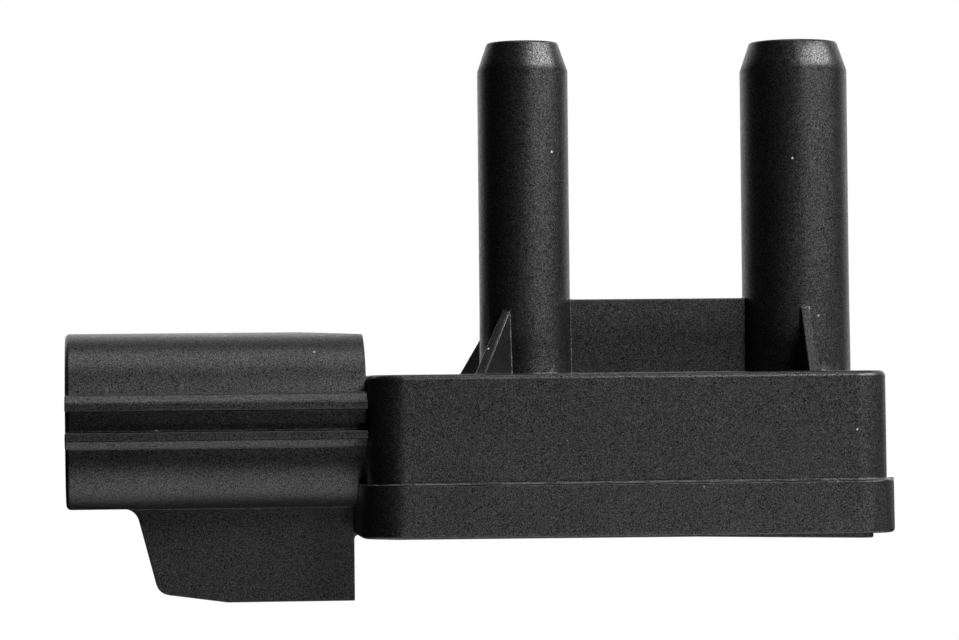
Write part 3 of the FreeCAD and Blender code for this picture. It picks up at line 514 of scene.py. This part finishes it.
class SENSOR_OT_housing(bpy.types.Operator):
    """Round the moulding's edges and give it its glass-filled plastic"""

    bl_idname = "sensor.housing"
    bl_label = "Housing"

    def execute(self, context):
        sizes, colours = context.scene.sensor_sizes, context.scene.sensor_colours
        piece = copy_node("housing", "housing_moulding")
        round_edges(piece, sizes.edge_steps, sizes.edge_angle, housing_widths(sizes))
        keep_inside(piece, "housing")
        plastic = moulded_plastic("housing_plastic", colours.plastic, colours, **SKIN)
        dress(piece, plastic, "housing_plastic", "housing")
        return {"FINISHED"}


def skirt_underside():
    """Height of the housing's underside, measured at its bolt ear, behind everything that hangs lower."""
    ear_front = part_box("mount_sleeve")[0].y
    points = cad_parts["housing"].data.vertices
    return min(point.co.z for point in points if point.co.y > ear_front)


def skirt_outline():
    """Two corners of the skirt's outline, seen from above.

    The cover sits in it with the same margin all around.
    """
    low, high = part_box("bottom_cover")
    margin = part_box("housing")[1].x - high.x
    grow = Vector((margin, margin, 0.0))
    return low - grow, high + grow


def housing_widths(sizes):
    """The rounding that suits each place of the housing.

    It is wider around the skirt's foot. The ports' ends are round already and get none.
    """
    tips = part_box("housing")[1].z - sizes.tip_round
    foot = skirt_underside()
    low, high = skirt_outline()

    def on_foot(middle):
        off_outline = abs(outline_distance(middle, low, high, sizes.skirt_corner))
        return max(abs(middle.z - foot), off_outline) < sizes.edge_round

    def width_at(middle):
        if middle.z > tips:
            return 0.0
        return sizes.foot_round if on_foot(middle) else sizes.edge_round

    return width_at


class SENSOR_OT_cover(bpy.types.Operator):
    """Round the cover's edges and give it its plastic"""

    bl_idname = "sensor.cover"
    bl_label = "Cover"

    def execute(self, context):
        sizes, colours = context.scene.sensor_sizes, context.scene.sensor_colours
        piece = copy_node("bottom_cover", "cover_plate")
        round_edges(piece, sizes.edge_steps, sizes.edge_angle, lambda middle: sizes.edge_round)
        plastic = moulded_plastic("cover_plastic", colours.cover, colours, **SKIN)
        dress(piece, plastic, "cover_plastic", "bottom_cover")
        return {"FINISHED"}


class SENSOR_OT_flash(bpy.types.Operator):
    """Run a thin, uneven flash along the skirt's upper edge"""

    bl_idname = "sensor.flash"
    bl_label = "Mould flash"

    def execute(self, context):
        sizes, colours = context.scene.sensor_sizes, context.scene.sensor_colours
        piece = make_flash(sizes)
        # The flash's light colour is a painted highlight; its roughness and bump are those of the plastic.
        material = clouded("flash_plastic_and_painted_highlight", colours.flash, 0.55, 4000.0, 0.6, 0.004 * MM)
        dress(piece, material, "housing_plastic")
        return {"FINISHED"}


def make_flash(sizes):
    """A narrow ring around the skirt's upper edge whose crest rises and falls."""
    low, high = skirt_outline()
    centre, half = (low + high) / 2, (high - low) / 2
    level = skirt_underside() + sizes.skirt_height
    deselect_all()
    bpy.ops.mesh.primitive_plane_add(size=2.0, location=(centre.x, centre.y, level))
    piece = bpy.context.active_object
    piece.name = "skirt_flash"
    piece.scale = (half.x, half.y, 1.0)
    bpy.ops.object.transform_apply(location=True, rotation=True, scale=True)
    bpy.ops.object.mode_set(mode="EDIT")
    bpy.ops.mesh.select_all(action="SELECT")
    bpy.ops.mesh.bevel(offset=sizes.skirt_corner, segments=16, affect="VERTICES")
    bpy.ops.mesh.select_all(action="SELECT")
    bpy.ops.mesh.inset(thickness=sizes.flash_width)
    bpy.ops.mesh.delete(type="ONLY_FACE")
    bpy.ops.object.mode_set(mode="OBJECT")
    cut_long_edges(piece, sizes.flash_step)
    activate(piece)
    bpy.ops.object.mode_set(mode="EDIT")
    bpy.ops.mesh.select_all(action="SELECT")
    bpy.ops.mesh.extrude_region_move(TRANSFORM_OT_translate={"value": (0.0, 0.0, sizes.flash_height)})
    bpy.ops.object.mode_set(mode="OBJECT")
    for vertex in piece.data.vertices:
        if vertex.co.z > level + sizes.flash_height / 2:
            uneven = noise.noise(vertex.co * SLOW_WAVES) + noise.noise(vertex.co * QUICK_WAVES)
            crest = min(CREST_MOST, max(CREST_LEAST, CREST_MIDDLE + CREST_SWING * uneven))
            vertex.co.z = level + sizes.flash_height * crest
    bpy.ops.object.mode_set(mode="EDIT")
    bpy.ops.mesh.select_all(action="SELECT")
    bpy.ops.mesh.normals_make_consistent(inside=False)
    bpy.ops.object.mode_set(mode="OBJECT")
    return piece


def select_long_edges(piece, limit):
    """Select the edges that are longer than the limit, and nothing else."""
    activate(piece)
    bpy.ops.object.mode_set(mode="EDIT")
    bpy.ops.mesh.select_mode(type="EDGE")
    bpy.ops.mesh.select_all(action="DESELECT")
    bpy.ops.object.mode_set(mode="OBJECT")
    points = piece.data.vertices
    for edge in piece.data.edges:
        first, last = (points[number].co for number in edge.vertices)
        edge.select = (last - first).length > limit


def cut_long_edges(piece, step):
    """Divide the ring's straight sides, whose edges are longer than two steps, into short ones."""
    for cuts in FLASH_CUTS:
        select_long_edges(piece, 2 * step)
        bpy.ops.object.mode_set(mode="EDIT")
        bpy.ops.mesh.subdivide(number_cuts=cuts)
        bpy.ops.object.mode_set(mode="OBJECT")


class SENSOR_OT_metal(bpy.types.Operator):
    """Soften the metal edges and plate the blades, the sleeve and the leads"""

    bl_idname = "sensor.metal"
    bl_label = "Terminals and sleeve"

    def execute(self, context):
        sizes, colours = context.scene.sensor_sizes, context.scene.sensor_colours
        tin = clouded("terminal_tin", colours.tin, 0.24, 1800.0, 0.10, 0.003 * MM, Metallic=1.0)
        for node in ("terminal_supply", "terminal_signal", "terminal_ground"):
            piece = copy_node(node, f"{node}_blade")
            round_edges(piece, 2, sizes.edge_angle, lambda middle: sizes.metal_round)
            dress(piece, tin, "terminal_tin", node)
        sleeve = copy_node("mount_sleeve", "sleeve_tube")
        round_edges(sleeve, 2, sizes.edge_angle, lambda middle: sizes.metal_round)
        dress(sleeve, turned_steel("sleeve_steel", colours.steel), "sleeve_steel", "mount_sleeve")
        finish_node("signal_chip_leads", tin)
        solder = clouded("solder", colours.solder, 0.18, 900.0, 0.08, 0.01 * MM, Metallic=1.0)
        finish_node("solder_joints", solder)
        return {"FINISHED"}


class SENSOR_OT_inside(bpy.types.Operator):
    """Finish the board, its components, the cell and the seals inside the housing"""

    bl_idname = "sensor.inside"
    bl_label = "Board, cell and seals"

    def execute(self, context):
        colours = context.scene.sensor_colours
        glue = clouded("sealant", colours.sealant, 0.45, 1500.0, 0.15, 0.01 * MM)
        for node in ("cover_seal", "board_seal", "terminal_sealant", "die_attach"):
            finish_node(node, glue)
        board = clouded("board_laminate", colours.laminate, 0.30, 2500.0, 0.25, 0.006 * MM, Coat_Weight=0.3)
        finish_node("circuit_board", board)
        ceramic = clouded("capacitor_body", colours.ceramic, 0.55, 3000.0, 0.12, 0.004 * MM)
        for node in ("supply_capacitor", "output_capacitor", "filter_capacitors"):
            finish_node(node, ceramic)
        resistor = clouded("resistor_body", colours.glaze, 0.25, 2500.0, 0.15, 0.003 * MM)
        finish_node("trim_resistors", resistor)
        epoxy = moulded_plastic("chip_epoxy", colours.epoxy, colours, 0.3, 0.5, 0.0, 0.005 * MM)
        finish_node("signal_chip", epoxy)
        ring = moulded_plastic("ring_plastic", colours.glaze, colours, 0.3, 0.45, 0.0, 0.005 * MM)
        finish_node("gel_ring", ring)
        silicon = clouded("silicon", colours.silicon, 0.12, 1200.0, 0.06, 0.001 * MM, Metallic=0.9)
        finish_node("pressure_die", silicon)
        glass = clouded(
            "pedestal_glass", colours.glass, 0.06, 800.0, 0.04, 0.001 * MM, Transmission_Weight=0.9
        )
        finish_node("die_pedestal", glass)
        gel = clouded("gel", colours.gel, 0.10, 700.0, 0.04, 0.004 * MM, IOR=1.41, Transmission_Weight=1.0)
        finish_node("gel_fill", gel)
        return {"FINISHED"}


class SENSOR_OT_stage(bpy.types.Operator):
    """Set up the white floor and surroundings, the lamps and the camera"""

    bl_idname = "sensor.stage"
    bl_label = "Studio and camera"

    def execute(self, context):
        studio = context.scene.sensor_studio
        make_floor(studio)
        make_world(studio)
        make_lamps(studio)
        make_camera(studio)
        context.scene.view_settings.view_transform = "Standard"
        return {"FINISHED"}


def make_floor(studio):
    """A white table with a soft shadow. It lights the object from its front edge backwards."""
    deselect_all()
    bpy.ops.mesh.primitive_plane_add(size=40.0, location=(0.0, 0.0, -studio.floor_drop))
    floor = bpy.context.active_object
    floor.name = "studio_floor"
    material = bpy.data.materials.new("floor_white")
    material.use_nodes = True
    tree = material.node_tree
    tree.nodes.clear()
    place = add_node(tree, "TexCoord").outputs["Object"]
    far = add_node(tree, "VectorMath", operation="LENGTH")
    link(tree, place, far.inputs[0])
    plain = math_node(tree, "MAXIMUM", ramp(tree, far.outputs["Value"], *SHADOW_FADE), PLAIN_SHARE)
    seen = mix_shaders(
        tree, plain, add_node(tree, "BsdfDiffuse", Color=TABLE_WHITE).outputs[0],
        add_node(tree, "Emission", Color=WHITE, Strength=1.0).outputs[0],
    )
    spot = add_node(tree, "SeparateXYZ")
    link(tree, place, spot.inputs[0])
    edge = studio.table_edge
    front = ramp(tree, spot.outputs["Y"], edge - TABLE_BLUR, edge + TABLE_BLUR)
    back = ramp(tree, spot.outputs["Y"], *TABLE_BACK)
    left = ramp(tree, spot.outputs["X"], *TABLE_LEFT)
    glow = math_node(tree, "MULTIPLY", math_node(tree, "MULTIPLY", front, back), left)
    glow = math_node(tree, "MULTIPLY", glow, studio.table_light)
    lit = add_node(tree, "Emission", Color=WHITE)
    link(tree, glow, lit.inputs["Strength"])
    camera_ray = add_node(tree, "LightPath").outputs["Is Camera Ray"]
    both = mix_shaders(tree, camera_ray, lit.outputs[0], seen)
    link(tree, both, add_node(tree, "OutputMaterial").inputs["Surface"])
    floor.data.materials.append(material)


def mix_shaders(tree, factor, first, second):
    """Blend two shaders by a value. Returns the blend."""
    blend = add_node(tree, "MixShader")
    for socket, source in zip(blend.inputs, (factor, first, second)):
        link(tree, source, socket)
    return blend.outputs[0]


def make_world(studio):
    """White where the camera sees it. Its light is a white backdrop behind and a dim room in front."""
    world = bpy.data.worlds.new("studio_world")
    bpy.context.scene.world = world
    world.use_nodes = True
    tree = world.node_tree
    tree.nodes.clear()
    way = add_node(tree, "SeparateXYZ")
    link(tree, add_node(tree, "TexCoord").outputs["Generated"], way.inputs[0])
    aside = math_node(tree, "MULTIPLY", way.outputs["X"], BACKDROP_TURN)
    behind = ramp(tree, math_node(tree, "ADD", aside, way.outputs["Y"]), *BACKDROP_SPREAD)
    level = add_node(tree, "MapRange", To_Min=studio.dim_side, To_Max=studio.backdrop)
    link(tree, behind, level.inputs["Value"])
    lit = add_node(tree, "Background", Color=WHITE)
    link(tree, level.outputs["Result"], lit.inputs["Strength"])
    white = add_node(tree, "Background", Color=WHITE, Strength=1.0)
    camera_ray = add_node(tree, "LightPath").outputs["Is Camera Ray"]
    both = mix_shaders(tree, camera_ray, lit.outputs[0], white.outputs[0])
    link(tree, both, add_node(tree, "OutputWorld").inputs["Surface"])


def aim(thing, place, target):
    """Stand a thing at a place with its front, -Z, towards the target."""
    thing.location = place
    thing.rotation_euler = (Vector(target) - Vector(place)).to_track_quat("-Z", "Y").to_euler()


def make_lamps(studio):
    """Soft lamps: one in front to the right, one above, and one that lies on the table in front."""
    low_place = (*LOW_PLACE, 1 * MM - studio.floor_drop)
    above_low = (LOW_PLACE[0], LOW_PLACE[1] + 1 * MM, 1.0)
    lamps = {
        "key_lamp": (KEY_PLACE, LAMP_TARGET, KEY_SIZE, studio.key_power),
        "top_lamp": (TOP_PLACE, LAMP_TARGET, TOP_SIZE, studio.top_power),
        "low_lamp": (low_place, above_low, LOW_SIZE, studio.low_power),
    }
    for name, (spot, target, (width, height), power) in lamps.items():
        light = bpy.data.lights.new(name, "AREA")
        light.shape = "RECTANGLE"
        light.size = width
        light.size_y = height
        light.energy = power
        lamp = bpy.data.objects.new(name, light)
        bpy.context.scene.collection.objects.link(lamp)
        lamp.visible_camera = False
        aim(lamp, spot, target)


def make_camera(studio):
    """The photograph's view: from the front and a little from the left, near the box's height."""
    camera = bpy.data.objects.new("camera", bpy.data.cameras.new("camera"))
    bpy.context.scene.collection.objects.link(camera)
    camera.data.lens = studio.lens
    camera.data.sensor_width = 36.0
    camera.data.clip_start = 0.01
    camera.location = studio.camera_place
    level = Euler((math.pi / 2 + studio.camera_tilt, 0.0, -studio.camera_turn)).to_matrix()
    camera.rotation_euler = (level @ Matrix.Rotation(-studio.camera_roll, 3, "Z")).to_euler()
    bpy.context.scene.camera = camera


STEPS = (
    SENSOR_OT_groups, SENSOR_OT_housing, SENSOR_OT_cover, SENSOR_OT_flash, SENSOR_OT_metal,
    SENSOR_OT_inside, SENSOR_OT_stage,
)


class SENSOR_PT_panel(bpy.types.Panel):
    """Lists the steps and the values that they use"""

    bl_idname = "SENSOR_PT_panel"
    bl_label = "Pressure sensor"
    bl_space_type = "VIEW_3D"
    bl_region_type = "UI"
    bl_category = "Sensor"

    def draw(self, context):
        for step in STEPS:
            self.layout.operator(step.bl_idname)
        scene = context.scene
        for group in (scene.sensor_sizes, scene.sensor_colours, scene.sensor_studio):
            box = self.layout.box()
            for name in group.__annotations__:
                box.prop(group, name)


CLASSES = (SensorSizes, SensorColours, StudioSettings, *STEPS, SENSOR_PT_panel)


def register():
    for one in CLASSES:
        bpy.utils.register_class(one)
    bpy.types.Scene.sensor_sizes = PointerProperty(type=SensorSizes)
    bpy.types.Scene.sensor_colours = PointerProperty(type=SensorColours)
    bpy.types.Scene.sensor_studio = PointerProperty(type=StudioSettings)


def unregister():
    del bpy.types.Scene.sensor_studio
    del bpy.types.Scene.sensor_colours
    del bpy.types.Scene.sensor_sizes
    for one in reversed(CLASSES):
        bpy.utils.unregister_class(one)


def main():
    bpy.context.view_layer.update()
    register()
    for step in STEPS:
        group, name = step.bl_idname.split(".")
        getattr(getattr(bpy.ops, group), name)()


if __name__ == "__main__":
    main()
